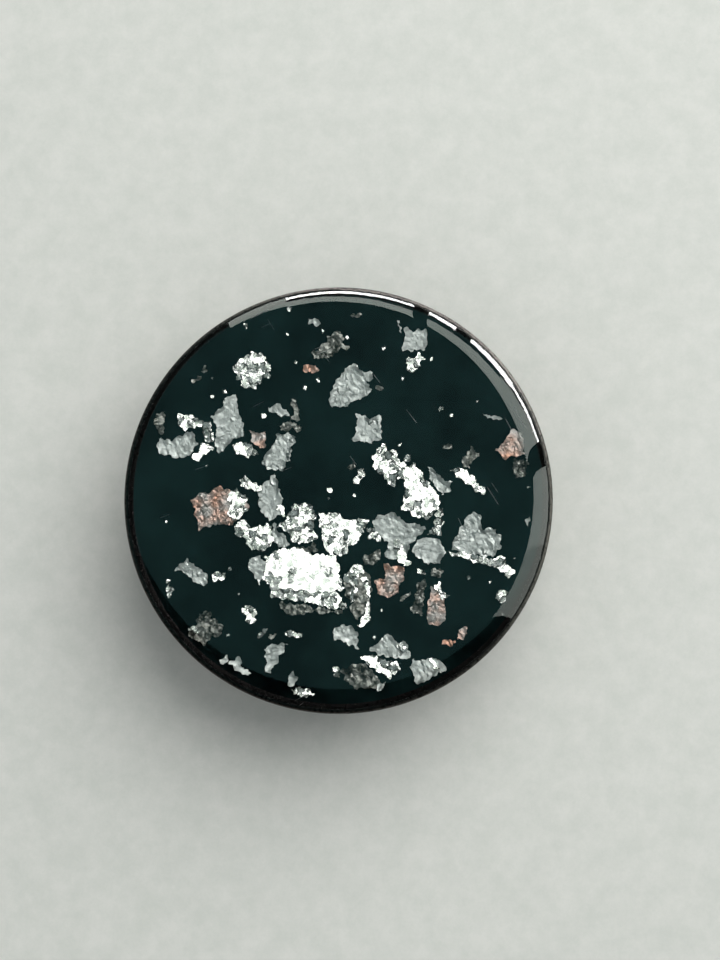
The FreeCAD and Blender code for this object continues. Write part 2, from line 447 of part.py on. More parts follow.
def spring_web(x):
    """The flat middle of the spring strip, staked to the cup's floor."""
    half_length = ANCHOR - 0.2
    web = Part.makeBox(2 * STRIP_HALF, 2 * half_length, SPRING, V(-STRIP_HALF, -half_length, WEB_Z - SPRING))
    hole = Part.makeCylinder(CUP_HOLE_R, 2 * SPRING, V(0, 0, WEB_Z - 1.5 * SPRING))
    return web.cut(hole).translated(V(x, 0, 0))


def wing_line():
    """The middle line of a wing from its bend to its tip, as (y, z) points along it."""
    start, end, steps = math.radians(270), BEND_END, 10
    bend = [
        (-ANCHOR + BEND_R * math.cos(start + (end - start) * i / steps),
         BEND_Z - BEND_R * math.sin(start + (end - start) * i / steps))
        for i in range(steps + 1)
    ]
    crossing_z = bend[-1][1] - (0 - bend[-1][0]) * math.tan(WING_RISE)
    ramp = [(y, crossing_z - y * math.tan(WING_RISE)) for y in (-2.0, 0.0)]
    return bend, ramp + [(out, crossing_z - down) for out, down in FLARE]


def strip_side(points, side):
    """A smooth curve through points, moved to one side by half the spring's thickness."""
    middle = Part.BSplineCurve()
    middle.interpolate([V(0, y, z) for y, z in points])
    moved = []
    for i in range(4 * len(points) + 1):
        t = middle.FirstParameter + (middle.LastParameter - middle.FirstParameter) * i / (4 * len(points))
        along = middle.tangent(t)[0]
        moved.append(middle.value(t) + V(0, -along.z, along.y) * (side * SPRING / 2))
    curve = Part.BSplineCurve()
    curve.interpolate(moved)
    return curve.toShape()


def wing_strip():
    """A wing's bent strip, wider than any wing, to be trimmed to its outline."""
    bend, flare = wing_line()
    points = bend + flare
    one, other = strip_side(points, 1), strip_side(points, -1)
    ends = [
        Part.LineSegment(one.Vertexes[k].Point, other.Vertexes[k].Point).toShape() for k in (0, -1)
    ]
    section = Part.Face(Part.Wire(Part.sortEdges([one, other] + ends)[0]))
    section.translate(V(-2 * STRIP_HALF, 0, 0))
    return section.extrude(V(4 * STRIP_HALF, 0, 0))


def block(x_half, y_low, y_high, round_r=0.0):
    """A tall block to trim a wing with, with rounded upright edges if asked."""
    tall = 12.0
    solid = Part.makeBox(2 * x_half, y_high - y_low, tall, V(-x_half, y_low, -tall))
    if round_r:
        upright = [e for e in solid.Edges if abs(e.tangentAt(e.FirstParameter).z) > 0.99]
        solid = solid.makeFillet(round_r, upright)
    return solid


def finger_tab():
    """The wide rounded end that is squeezed."""
    return block(TAB_HALF, TAB_START, FLARE[-1][0], TAB_ROUND)


def fork_wing(x):
    """The wing that starts at -Y: a wide slot lets the other wing's tongue and the post through."""
    outline = block(STRIP_HALF, -ANCHOR - 2 * BEND_R, ROOT_END).fuse(finger_tab())
    wing = wing_strip().common(outline).cut(block(FORK_SLOT_HALF, -JAW, CROSSING))
    return wing.Solids[0].translated(V(x, 0, 0))


def tongue_wing(x):
    """The wing that starts at +Y: it narrows to a tongue, pierced for the post, where it crosses."""
    root = block(STRIP_HALF, -ANCHOR - 2 * BEND_R, -CROSSING)
    tongue = block(TONGUE_HALF, -CROSSING - TONGUE_HALF, ROOT_END)
    hole = block(POST_R + PIERCE_CLEAR, -JAW, PIERCE_LENGTH - JAW)
    wing = wing_strip().common(root.fuse(tongue).fuse(finger_tab())).cut(hole)
    wing.rotate(V(0, 0, 0), AXIS_Z, 180)
    return wing.Solids[0].translated(V(x, 0, 0))


def main():
    save("tray", tray())
    save("enamel_base", enamel_base())
    save("resin_coat_lower", resin_coat(LOWER))
    save("resin_coat_upper", resin_coat(UPPER))
    for finish in ("smooth", "crumpled", "copper", "smoky"):
        save(f"leaf_{finish}", leaf_solids(finish))
    save("leaf_specks", leaf_solids("specks"))
    save("resin_dome", resin_dome())
    for side, x in (("left", -POST_SPACING / 2), ("right", POST_SPACING / 2)):
        save(f"{side}_post", post(x))
        save(f"{side}_solder_bead", solder_bead(x))
        save(f"{side}_clutch_cup", clutch_cup(x))
        save(f"{side}_spring_web", spring_web(x))
        save(f"{side}_fork_wing", fork_wing(x))
        save(f"{side}_tongue_wing", tongue_wing(x))
    print(f"wings pivot at y -/+{ANCHOR}, z {BEND_Z:.3f}; tips reach z {wing_line()[1][-1][1]:.3f}")


main()
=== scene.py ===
"""Looks of the round badge pin: torn leaf in clear resin over black enamel, in a black cast tray.

Blender units are metres. Sizes below are in millimetres, and MM turns them into metres.
"""
import math
import random
from dataclasses import dataclass

import bpy
import bmesh
import numpy as np
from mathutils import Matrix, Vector, geometry, noise


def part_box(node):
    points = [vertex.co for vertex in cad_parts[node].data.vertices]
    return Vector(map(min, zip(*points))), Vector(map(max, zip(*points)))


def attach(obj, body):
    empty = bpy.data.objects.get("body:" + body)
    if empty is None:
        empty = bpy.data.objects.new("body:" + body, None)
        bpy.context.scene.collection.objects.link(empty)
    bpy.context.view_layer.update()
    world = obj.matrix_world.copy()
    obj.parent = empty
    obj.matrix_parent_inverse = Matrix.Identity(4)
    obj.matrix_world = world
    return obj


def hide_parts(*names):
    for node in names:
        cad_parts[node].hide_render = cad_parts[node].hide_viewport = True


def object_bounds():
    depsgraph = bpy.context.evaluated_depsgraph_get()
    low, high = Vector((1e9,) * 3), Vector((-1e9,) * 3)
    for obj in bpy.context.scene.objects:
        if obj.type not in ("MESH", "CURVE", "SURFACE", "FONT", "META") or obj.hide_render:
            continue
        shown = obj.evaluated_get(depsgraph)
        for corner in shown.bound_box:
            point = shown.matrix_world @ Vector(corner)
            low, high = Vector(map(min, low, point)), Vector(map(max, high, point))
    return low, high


MM = 0.001

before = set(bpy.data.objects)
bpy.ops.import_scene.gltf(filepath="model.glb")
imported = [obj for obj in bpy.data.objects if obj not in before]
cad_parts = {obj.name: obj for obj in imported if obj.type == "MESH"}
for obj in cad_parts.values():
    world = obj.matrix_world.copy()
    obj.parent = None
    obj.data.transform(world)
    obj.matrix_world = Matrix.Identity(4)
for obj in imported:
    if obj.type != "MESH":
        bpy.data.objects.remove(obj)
CAD_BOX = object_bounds()

# ---- sizes read from the frame, in millimetres -------------------------------------------------
RESIN_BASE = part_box("resin_coat_lower")[0].z / MM
UPPER_COAT_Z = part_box("resin_coat_upper")[0].z / MM
LIP_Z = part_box("resin_dome")[0].z / MM
DOME_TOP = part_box("resin_dome")[1].z / MM
DOME_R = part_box("resin_dome")[1].x / MM
BORE_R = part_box("resin_coat_lower")[1].x / MM
BADGE_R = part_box("tray")[1].x / MM
FLOOR_Z = CAD_BOX[0].z / MM

# ---- resin and tray, in millimetres ------------------------------------------------------------
CROWN_R = 17.4            # the dome is a shallow cap inside this radius and a rounded shoulder outside
CROWN_SLOPE = math.radians(6.25)
SUNK = 0.02               # the resin wets the enamel and the tray, so it is drawn this far into them
DOME_WAVE = 0.006         # the cured dome is uneven by this much,
DOME_WAVE_LENGTH = 5.0    # over this distance
RUBBED_DEPTH = 0.6        # the plating is rubbed this far down from the lip

# ---- leaf, in millimetres ----------------------------------------------------------------------
LEAF_GAUGE = 0.012        # thickness of a sheet of leaf, drawn thicker than the real one
LEAF_GRID = 0.15          # spacing of the points that a sheet is creased at
TORN_STEP = 0.12          # spacing of the points along a torn edge
TEAR_SPACING = 0.45       # spacing of the larger tears
CELL_WARP = 0.55          # how far the edges of facets and parts wander, as a share of their size
CURL_SPACING = 1.2        # spacing of the stretches of edge that have lifted
HARSHNESS = (0.6, 1.5)    # how much less or more than its style a sheet may be crumpled
ODD_SPREAD = (0.7, 1.3)   # how much fewer or more of its facets may break step
LARGE_SHEET = 26.0        # square millimetres in the box round a sheet that counts as large,
LARGE_CALM = 0.5          # and the share of its odd facets that such a sheet does without
IN_STEP = 0.12            # a facet that keeps step still leans by this share of a lean of its own
WINDOW_SIDE = 44          # the way that leaf has to lean to catch the window: degrees round Z from +X
WINDOW_LEAN = 0.105       # and how steeply, as rise over run
PART_TURN = 12            # folded parts face the window to within about this many degrees
PART_SPREAD = (0.8, 1.2)  # and lean this much less or more

# ---- the dim room that the dome mirrors, in metres ---------------------------------------------
CEILING_HEIGHT = 0.3
CEILING_HALF = 2.7        # half its width and, like the two below, a share of its height
CEILING_BEHIND = 0.45
CEILING_AHEAD = 3.7
CEILING_RADIANCE = 0.26
CEILING_TINT = (0.40, 1.0, 1.0)
ROOM_GLOW = (0.010, 0.012, 0.012, 1)
LAMP_DISTANCE = 0.6
FLOOR_HALF = 3.0

# ---- camera, in millimetres --------------------------------------------------------------------
CAMERA_ELEVATION = math.radians(84.0)
CAMERA_DISTANCE = 185.0
VIEW_HEIGHT = 89.5        # what the picture's long side takes in at that distance
AIM = Vector((2.00, 1.68, LIP_Z))
SENSOR = 36.0


# ---- shared helpers ----------------------------------------------------------------------------
def linear(hex_colour):
    """An sRGB hex colour as linear RGBA."""
    channels = [int(hex_colour[i:i + 2], 16) / 255 for i in (1, 3, 5)]
    return (*[c / 12.92 if c <= 0.04045 else ((c + 0.055) / 1.055) ** 2.4 for c in channels], 1.0)


def add_node(tree, kind, inputs=None, **settings):
    """Adds a node. inputs maps a socket's name or number to a value, or to the output it is fed from."""
    made = tree.nodes.new(kind)
    for name, value in settings.items():
        setattr(made, name, value)
    for socket, value in (inputs or {}).items():
        if isinstance(value, bpy.types.NodeSocket):
            tree.links.new(value, made.inputs[socket])
        else:
            made.inputs[socket].default_value = value
    return made


def new_material(name):
    """An empty node material with its tree, its surface shader and the object's own coordinates."""
    material = bpy.data.materials.new(name)
    material.use_nodes = True
    tree = material.node_tree
    tree.nodes.clear()
    shader = add_node(tree, "ShaderNodeBsdfPrincipled")
    add_node(tree, "ShaderNodeOutputMaterial", {"Surface": shader.outputs[0]})
    place = add_node(tree, "ShaderNodeTexCoord").outputs["Object"]
    return material, tree, shader, place


def per_mm(size):
    """A texture's scale for a feature of this many millimetres."""
    return 1 / (size * MM)


def new_piece(name, points, faces, body, smooth=True):
    """A mesh from points in millimetres, riding on a body."""
    mesh = bpy.data.meshes.new(name)
    mesh.from_pydata([tuple(c * MM for c in p) for p in points], [], faces)
    mesh.validate()
    if smooth:
        mesh.shade_smooth()
    else:
        mesh.shade_flat()
    made = bpy.data.objects.new(name, mesh)
    bpy.context.scene.collection.objects.link(made)
    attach(made, body)
    return made


# ---- resin -------------------------------------------------------------------------------------
def dome_section():
    """(radius, height) points of the dome's surface from its edge to its middle."""
    cap_r = CROWN_R / math.sin(CROWN_SLOPE)
    shoulder_z = DOME_TOP - cap_r * (1 - math.cos(CROWN_SLOPE))
    run, drop = DOME_R - CROWN_R, shoulder_z - LIP_Z
    # the arc that leaves the cap at its slope and reaches the edge after that run and that drop
    chord = math.atan2(drop, run)
    edge_slope = 2 * chord - CROWN_SLOPE
    shoulder_r = run / (math.sin(edge_slope) - math.sin(CROWN_SLOPE))
    steps = 28
    shoulder = []
    for i in range(steps):
        slope = edge_slope + (CROWN_SLOPE - edge_slope) * i / steps
        r = CROWN_R + shoulder_r * (math.sin(slope) - math.sin(CROWN_SLOPE))
        z = shoulder_z - shoulder_r * (math.cos(CROWN_SLOPE) - math.cos(slope))
        shoulder.append((r, z))
    rings = 30
    cap = []
    for i in range(rings):
        r = CROWN_R * (1 - i / rings)
        cap.append((r, DOME_TOP - cap_r + math.sqrt(cap_r**2 - r**2)))
    return shoulder + cap


def resin_body():
    """All the clear resin, which has cured into one body: a turned solid with a slightly uneven dome."""
    around = 360
    low, lip = RESIN_BASE - SUNK, LIP_Z - SUNK
    section = [(BORE_R + SUNK, low), (BORE_R + SUNK, lip), (DOME_R, lip)] + dome_section()
    points = []
    for r, z in section:
        for i in range(around):
            a = 2 * math.pi * i / around
            x, y = r * math.cos(a), r * math.sin(a)
            lift = 0.0
            if z > LIP_Z:
                lift = DOME_WAVE * noise.noise(Vector((x, y, 3.0)) / DOME_WAVE_LENGTH)
            points.append((x, y, z + lift))
    faces = []
    for k in range(len(section) - 1):
        for i in range(around):
            j = (i + 1) % around
            faces.append((k * around + i, k * around + j, (k + 1) * around + j, (k + 1) * around + i))
    points += [(0, 0, DOME_TOP), (0, 0, low)]
    top, bottom, last = len(points) - 2, len(points) - 1, (len(section) - 1) * around
    for i in range(around):
        j = (i + 1) % around
        faces.append((last + i, last + j, top))
        faces.append((j, i, bottom))
    resin = new_piece("clear_resin", points, faces, "badge")
    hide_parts("resin_coat_lower", "resin_coat_upper", "resin_dome")
    return resin


# ---- leaf --------------------------------------------------------------------------------------
@dataclass
class LeafStyle:
    """How one finish of leaf has torn and crumpled: millimetres, and slopes as rise over run."""
    tear: float               # how far its edge wanders at the larger tears
    nick: float               # and at the small nicks
    facet: float              # size of its facets
    odd: float                # share of its facets that break step
    slope: float              # how steeply a facet may lean on its own
    dent: float               # height of its smallest creases
    part: float = 0           # size of the parts that it has folded into, or 0 where it lies flat
    deep: float = 1           # how many times more facets break step in the lower coat
    curl: float = 0           # slope of its edge where that has lifted
    curl_width: float = 0     # how far in from the edge it has lifted


FLAT = LeafStyle(tear=0.30, nick=0.06, facet=0.42, odd=0.05, slope=0.04, dent=0.0025,
                 curl=0.13, curl_width=0.36)
BRIGHT = LeafStyle(tear=0.30, nick=0.09, facet=0.60, odd=0.58, slope=0.14, dent=0.006, part=2.2, deep=1.5)
COPPER = LeafStyle(tear=0.26, nick=0.07, facet=0.45, odd=0.12, slope=0.13, dent=0.008,
                   curl=0.12, curl_width=0.3)
SMOKY = LeafStyle(tear=0.30, nick=0.09, facet=0.40, odd=0.18, slope=0.22, dent=0.007,
                  curl=0.15, curl_width=0.25)
GRAIN = LeafStyle(tear=0.14, nick=0.08, facet=0.40, odd=0.50, slope=0.18, dent=0.004, part=1.0)


def leaf_outlines(node):
    """Each piece of leaf in a CAD node as (outline points, low z, high z), in millimetres."""
    form = bmesh.new()
    form.from_mesh(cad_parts[node].data)
    bmesh.ops.remove_doubles(form, verts=form.verts, dist=1e-6)
    form.normal_update()
    onward = {}
    for face in form.faces:
        if face.normal.z < 0.9:
            continue
        for loop in face.loops:
            if any(other.normal.z < 0.9 for other in loop.edge.link_faces):
                onward[loop.vert] = loop.link_loop_next.vert
    pieces = []
    while onward:
        start, here = next(iter(onward.items()))
        del onward[start]
        ring = [start]
        while here != start:
            ring.append(here)
            here = onward.pop(here)
        # each ring starts at its leftmost corner, whatever order the faces come in
        first = min(range(len(ring)), key=lambda i: tuple(ring[i].co.xy))
        ring = ring[first:] + ring[:first]
        top = ring[0].co.z / MM
        low = min(e.other_vert(ring[0]).co.z for e in ring[0].link_edges) / MM
        pieces.append(([(v.co.x / MM, v.co.y / MM) for v in ring], low, top))
    form.free()
    return sorted(pieces)


def torn_edge(outline, style, rng):
    """The outline with points added along it and moved in and out by tears of two sizes."""
    torn, seed = [], 100 * rng.random()
    for (x0, y0), (x1, y1) in zip(outline, outline[1:] + outline[:1]):
        length = math.hypot(x1 - x0, y1 - y0)
        out_x, out_y = (y1 - y0) / length, (x0 - x1) / length
        parts = max(1, round(length / TORN_STEP))
        for i in range(parts):
            x, y = x0 + (x1 - x0) * i / parts, y0 + (y1 - y0) * i / parts
            push = style.tear * noise.noise(Vector((x, y, seed)) / TEAR_SPACING)
            push += style.nick * rng.uniform(-1.0, 0.7)
            torn.append((x + out_x * push, y + out_y * push))
    return torn


def edge_distance(points, outline):
    """How far each point is from the outline."""
    a = np.array(outline)
    along = np.roll(a, -1, axis=0) - a
    offset = points[:, None, :] - a[None, :, :]
    t = np.clip((offset * along).sum(2) / (along**2).sum(1), 0, 1)
    return np.linalg.norm(offset - t[:, :, None] * along, axis=2).min(1)


def leaf_sheet(outline, rng):
    """A flat sheet inside a torn outline, as (points, triangles)."""
    edge = len(outline)
    xs, ys = zip(*outline)
    filling = []
    rows = int((max(ys) - min(ys)) / LEAF_GRID) + 1
    columns = int((max(xs) - min(xs)) / LEAF_GRID) + 1
    for i in range(columns):
        for j in range(rows):
            filling.append((min(xs) + (i + rng.uniform(0.15, 0.85)) * LEAF_GRID,
                            min(ys) + (j + rng.uniform(0.15, 0.85)) * LEAF_GRID))
    clear = edge_distance(np.array(filling), outline) > 0.4 * LEAF_GRID
    filling = [p for p, keep in zip(filling, clear) if keep]
    flat = [Vector(p) for p in list(outline) + filling]
    ring = [(i, (i + 1) % edge) for i in range(edge)]
    points, _, triangles, *_ = geometry.delaunay_2d_cdt(flat, ring, [list(range(edge))], 1, 1e-6)
    return np.array([tuple(p) for p in points]), triangles


def cells(points, size, rng):
    """Breaks a sheet into cells of about this size: (each point's cell, each cell's centre)."""
    low = points.min(0) - size
    columns, rows = ((points.max(0) - low) / size + 2).astype(int)
    centres = [(low[0] + (i + rng.random()) * size, low[1] + (j + rng.random()) * size)
               for i in range(columns) for j in range(rows)]
    warp = np.array([(noise.noise(Vector((x, y, 7.0)) / size), noise.noise(Vector((x, y, 90.0)) / size))
                     for x, y in points])
    bent = points + CELL_WARP * size * warp
    gaps = np.linalg.norm(bent[:, None, :] - np.array(centres)[None, :, :], axis=2)
    return gaps.argmin(1), np.array(centres)


def lean_towards(side, lean):
    """The rise per millimetre along X and Y of a sheet that faces this way: it falls on that side."""
    return -lean * math.cos(side), -lean * math.sin(side)


def fold_parts(points, triangles, style, rng):
    """Cuts a sheet where it has folded over: (each point's place in the uncut sheet, its part's lean,
    its part's centre, triangles). A sheet that lies flat stays in one part."""
    part, centres, lean = np.zeros(len(triangles), int), np.zeros((1, 2)), 0
    if style.part:
        part, centres = cells(points[np.array(triangles)].mean(1), style.part, rng)
        lean = WINDOW_LEAN
    leans = np.array([lean_towards(math.radians(rng.gauss(WINDOW_SIDE, PART_TURN)),
                                   lean * rng.uniform(*PART_SPREAD)) for _ in centres])
    cut = {}
    cut_triangles = [tuple(cut.setdefault((corner, number), len(cut)) for corner in triangle)
                     for triangle, number in zip(triangles, part)]
    uncut, number = np.array(list(cut)).T
    return uncut, leans[number], centres[number], cut_triangles


def facet_leans(count, part_lean, facet, style, harshness, odd_share, rng):
    """How much each point's facet leans over and above its part: most keep to the lean of their part,
    and the others break step with one of their own, or on a flat sheet face the window."""
    own = np.array([lean_towards(rng.uniform(0, 2 * math.pi),
                                 harshness * style.slope * math.sqrt(rng.random())) for _ in range(count)])
    odd = np.array([rng.random() < odd_share for _ in range(count)])[facet][:, None]
    if style.part:
        return np.where(odd, own[facet] - part_lean, IN_STEP * own[facet])
    return np.where(odd, lean_towards(math.radians(WINDOW_SIDE), WINDOW_LEAN), own[facet])


def crumple(points, outline, style, harshness, rng):
    """The smallest creases and the lifted edges of a sheet, as a height in millimetres at each point."""
    height = np.array([harshness * style.dent * rng.uniform(-1, 1) for _ in points])
    if style.curl:
        near = np.clip(1 - edge_distance(points, outline) / style.curl_width, 0, 1)
        where = np.array([noise.noise(Vector((x, y, 11.0)) / CURL_SPACING) for x, y in points])
        height += style.curl * style.curl_width * near * np.clip(0.4 + 2.0 * where, 0, 1)
    return height


def closed_sheet(flat, height, triangles, base):
    """A crumpled sheet with its thickness, as (points, faces). Its points are numbered from base."""
    count = len(flat)
    points = [(x, y, z + lift) for lift in (LEAF_GAUGE, 0.0) for (x, y), z in zip(flat, height)]
    faces = []
    sides = {}
    for a, b, c in triangles:
        faces.append((base + a, base + b, base + c))
        faces.append((base + count + c, base + count + b, base + count + a))
        sides.update({(a, b): True, (b, c): True, (c, a): True})
    for a, b in sides:
        if (b, a) not in sides:
            faces.append((base + b, base + a, base + count + a, base + count + b))
    return points, faces


def leaf_pieces(name, node, style, seed):
    """All the pieces of leaf of one finish, crumpled in place, as one mesh of closed thin sheets."""
    points, faces = [], []
    for number, (outline, low, high) in enumerate(leaf_outlines(node)):
        rng = random.Random(seed * 1000 + number)
        harshness = rng.uniform(*HARSHNESS)
        torn = torn_edge(outline, style, rng)
        sheet, triangles = leaf_sheet(torn, rng)
        uncut, part_lean, part_centre, triangles = fold_parts(sheet, triangles, style, rng)
        facet, facet_centre = cells(sheet, style.facet, rng)
        # a large sheet lies flatter, so fewer of its facets break step, and in the lower coat more do
        large = min(1.0, np.ptp(sheet, axis=0).prod() / LARGE_SHEET)
        odd_share = style.odd * rng.uniform(*ODD_SPREAD) * (1 - LARGE_CALM * large)
        if low < UPPER_COAT_Z:
            odd_share *= style.deep
        flat, facet = sheet[uncut], facet[uncut]
        extra = facet_leans(len(facet_centre), part_lean, facet, style, harshness, odd_share, rng)
        height = crumple(sheet, torn, style, harshness, rng)[uncut]
        height += ((flat - part_centre) * part_lean + (flat - facet_centre[facet]) * extra).sum(1)
        room = high - low - 2 * LEAF_GAUGE
        spread = max(height.max() - height.min(), 1e-6)
        height = (height - height.min()) * min(1.0, room / spread) + low + LEAF_GAUGE / 2
        sheet_points, sheet_faces = closed_sheet(flat, height, triangles, len(points))
        points += sheet_points
        faces += sheet_faces
    piece = new_piece(name, points, faces, "badge", smooth=False)
    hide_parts(node)
    return piece


# ---- materials ---------------------------------------------------------------------------------
def clear_epoxy():
    """Self-levelled epoxy doming resin: water-clear, glossy, with a few hairline scratches."""
    material, tree, shader, place = new_material("clear_epoxy")
    shader.inputs["Base Color"].default_value = (1, 1, 1, 1)
    shader.inputs["Transmission Weight"].default_value = 1.0
    shader.inputs["IOR"].default_value = 1.5
    # scratches: noise drawn out along each of two directions, of which the sharpest ridges show in places
    bow = add_node(tree, "ShaderNodeTexNoise", {"Vector": place, "Scale": per_mm(9.0), "Detail": 0.0})
    bent = add_node(tree, "ShaderNodeVectorMath",
                    {0: bow.outputs["Color"], 1: (2.0 * MM, 2.0 * MM, 0), 2: place}, operation="MULTIPLY_ADD")
    ridges = []
    for turn, length in ((57, 5.0), (-24, 4.0)):
        turned = add_node(tree, "ShaderNodeMapping", {"Vector": bent.outputs[0],
                                                      "Rotation": (0, 0, math.radians(turn))})
        drawn = add_node(tree, "ShaderNodeMapping", {"Vector": turned.outputs[0],
                                                     "Scale": (per_mm(length), per_mm(0.15), 0)})
        lines = add_node(tree, "ShaderNodeTexNoise",
                         {"Vector": drawn.outputs[0], "Scale": 1.0, "Detail": 0.0})
        ridge = add_node(tree, "ShaderNodeMapRange",
                         {0: lines.outputs[0], 1: 0.83, 2: 0.90, 3: 0.012, 4: 0.45})
        ridges.append(ridge.outputs[0])
    scratched = add_node(tree, "ShaderNodeMath", {0: ridges[0], 1: ridges[1]}, operation="MAXIMUM")
    tree.links.new(scratched.outputs[0], shader.inputs["Roughness"])
    return material


def black_epoxy():
    """Poured black epoxy enamel whose pigment has settled in soft clouds. Its blue-green cast is partly the
    enamel's own and partly painted reflection of the dim blue-green room that the dome mirrors. The resin
    over it has wetted it, so it has no shine of its own."""
    material, tree, shader, place = new_material("black_epoxy_enamel")
    clouds = add_node(tree, "ShaderNodeTexNoise", {"Vector": place, "Scale": per_mm(7.0), "Detail": 4.0})
    level = add_node(tree, "ShaderNodeMapRange", {0: clouds.outputs[0], 1: 0.36, 2: 0.66})
    # both tones carry a blue-green cast that is partly painted reflection of the blue-green room
    colour = add_node(tree, "ShaderNodeMix",
                      {0: level.outputs[0], 6: linear("#01080a"), 7: linear("#162b2b")}, data_type="RGBA")
    tree.links.new(colour.outputs[2], shader.inputs["Base Color"])
    shader.inputs["Roughness"].default_value = 0.35
    shader.inputs["Specular IOR Level"].default_value = 0.0
    return material


def black_nickel_casting():
    """Zinc alloy casting plated with black nickel: a dark, slightly grainy satin, rubbed to a patchy
    pewter brown round the edge of its mouth."""
    material, tree, shader, place = new_material("black_nickel_on_zinc")
    grain = add_node(tree, "ShaderNodeTexNoise", {"Vector": place, "Scale": per_mm(0.25), "Detail": 4.0})
    shade = add_node(tree, "ShaderNodeMapRange", {0: grain.outputs[0], 1: 0.3, 2: 0.7, 3: 0.22, 4: 0.45})
    bump = add_node(tree, "ShaderNodeBump",
                    {"Height": grain.outputs[0], "Strength": 0.5, "Distance": 0.03 * MM})
    # rubbed where it is both near the outside and near the lip
    flat = add_node(tree, "ShaderNodeVectorMath", {0: place, 1: (1, 1, 0)}, operation="MULTIPLY")
    radius = add_node(tree, "ShaderNodeVectorMath", {0: flat.outputs[0]}, operation="LENGTH")
    outer = add_node(tree, "ShaderNodeMapRange",
                     {0: radius.outputs["Value"], 1: DOME_R * MM, 2: BADGE_R * MM})
    height = add_node(tree, "ShaderNodeSeparateXYZ", {0: place})
    upper = add_node(tree, "ShaderNodeMapRange",
                     {0: height.outputs[2], 1: (LIP_Z - RUBBED_DEPTH) * MM, 2: LIP_Z * MM})
    edge = add_node(tree, "ShaderNodeMath", {0: outer.outputs[0], 1: upper.outputs[0]},
                    operation="MULTIPLY")
    patchy = add_node(tree, "ShaderNodeMapRange", {0: grain.outputs[0], 1: 0.38, 2: 0.55, 3: 0.2, 4: 1.0})
    rubbed = add_node(tree, "ShaderNodeMath", {0: edge.outputs[0], 1: patchy.outputs[0]},
                      operation="MULTIPLY")
    colour = add_node(tree, "ShaderNodeMix",
                      {0: rubbed.outputs[0], 6: linear("#211f1f"), 7: linear("#615c58")}, data_type="RGBA")
    tree.links.new(colour.outputs[2], shader.inputs["Base Color"])
    tree.links.new(shade.outputs[0], shader.inputs["Roughness"])
    tree.links.new(bump.outputs[0], shader.inputs["Normal"])
    shader.inputs["Metallic"].default_value = 1.0
    return material


def leaf_metal(name, light, dark, patch_mm, roughness):
    """Beaten leaf, a crumpled foil with a soft metal shine. Its colour and shine drift between two tones."""
    material, tree, shader, place = new_material(name)
    patches = add_node(tree, "ShaderNodeTexNoise",
                       {"Vector": place, "Scale": per_mm(patch_mm), "Detail": 4.0})
    level = add_node(tree, "ShaderNodeMapRange", {0: patches.outputs[0], 1: 0.38, 2: 0.62})
    colour = add_node(tree, "ShaderNodeMix", {0: level.outputs[0], 6: linear(light), 7: linear(dark)},
                      data_type="RGBA")
    shine = add_node(tree, "ShaderNodeMapRange",
                     {0: patches.outputs[0], 1: 0.3, 2: 0.7, 3: roughness[0], 4: roughness[1]})
    tree.links.new(colour.outputs[2], shader.inputs["Base Color"])
    tree.links.new(shine.outputs[0], shader.inputs["Roughness"])
    shader.inputs["Metallic"].default_value = 1.0
    return material


def plated_metal(name, colour, roughness, grain_mm, grain_depth):
    """Bright plated or bare metal, drawn or pressed: a clean shine with a fine grain in it."""
    material, tree, shader, place = new_material(name)
    grain = add_node(tree, "ShaderNodeTexNoise", {"Vector": place, "Scale": per_mm(grain_mm), "Detail": 3.0})
    shine = add_node(tree, "ShaderNodeMapRange",
                     {0: grain.outputs[0], 1: 0.3, 2: 0.7, 3: roughness[0], 4: roughness[1]})
    bump = add_node(tree, "ShaderNodeBump",
                    {"Height": grain.outputs[0], "Strength": 0.4, "Distance": grain_depth * MM})
    tree.links.new(shine.outputs[0], shader.inputs["Roughness"])
    tree.links.new(bump.outputs[0], shader.inputs["Normal"])
    shader.inputs["Base Color"].default_value = linear(colour)
    shader.inputs["Metallic"].default_value = 1.0
    return material


def paint(piece, material):
    """Gives a piece one material."""
    piece.data.materials.clear()
    piece.data.materials.append(material)


# ---- studio ------------------------------------------------------------------------------------
def pale_board():
    """Matt painted board that the badge lies on, mottled by the tooth of its paint."""
    material, tree, shader, place = new_material("matt_painted_board")
    mottle = add_node(tree, "ShaderNodeTexNoise",
                      {"Vector": place, "Scale": per_mm(2.5), "Detail": 6.0, "Roughness": 0.75})
    level = add_node(tree, "ShaderNodeMapRange", {0: mottle.outputs[0], 1: 0.35, 2: 0.65})
    colour = add_node(tree, "ShaderNodeMix",
                      {0: level.outputs[0], 6: linear("#d2d6d2"), 7: linear("#dddfdc")}, data_type="RGBA")
    tree.links.new(colour.outputs[2], shader.inputs["Base Color"])
    shader.inputs["Roughness"].default_value = 0.8
    return material


def floor():
    """A wide board under the badge."""
    mesh = bpy.data.meshes.new("floor")
    corners = [(x * FLOOR_HALF, y * FLOOR_HALF, FLOOR_Z * MM)
               for x, y in ((-1, -1), (1, -1), (1, 1), (-1, 1))]
    mesh.from_pydata(corners, [], [(0, 1, 2, 3)])
    board = bpy.data.objects.new("floor", mesh)
    bpy.context.scene.collection.objects.link(board)
    paint(board, pale_board())


def aim(lamp, azimuth, elevation, distance):
    """Puts a light on a sphere round the badge, facing it. Angles are degrees round Z from +X and up."""
    a, e = math.radians(azimuth), math.radians(elevation)
    out = Vector((math.cos(a) * math.cos(e), math.sin(a) * math.cos(e), math.sin(e)))
    lamp.location = out * distance
    lamp.rotation_euler = out.to_track_quat("Z", "Y").to_euler()


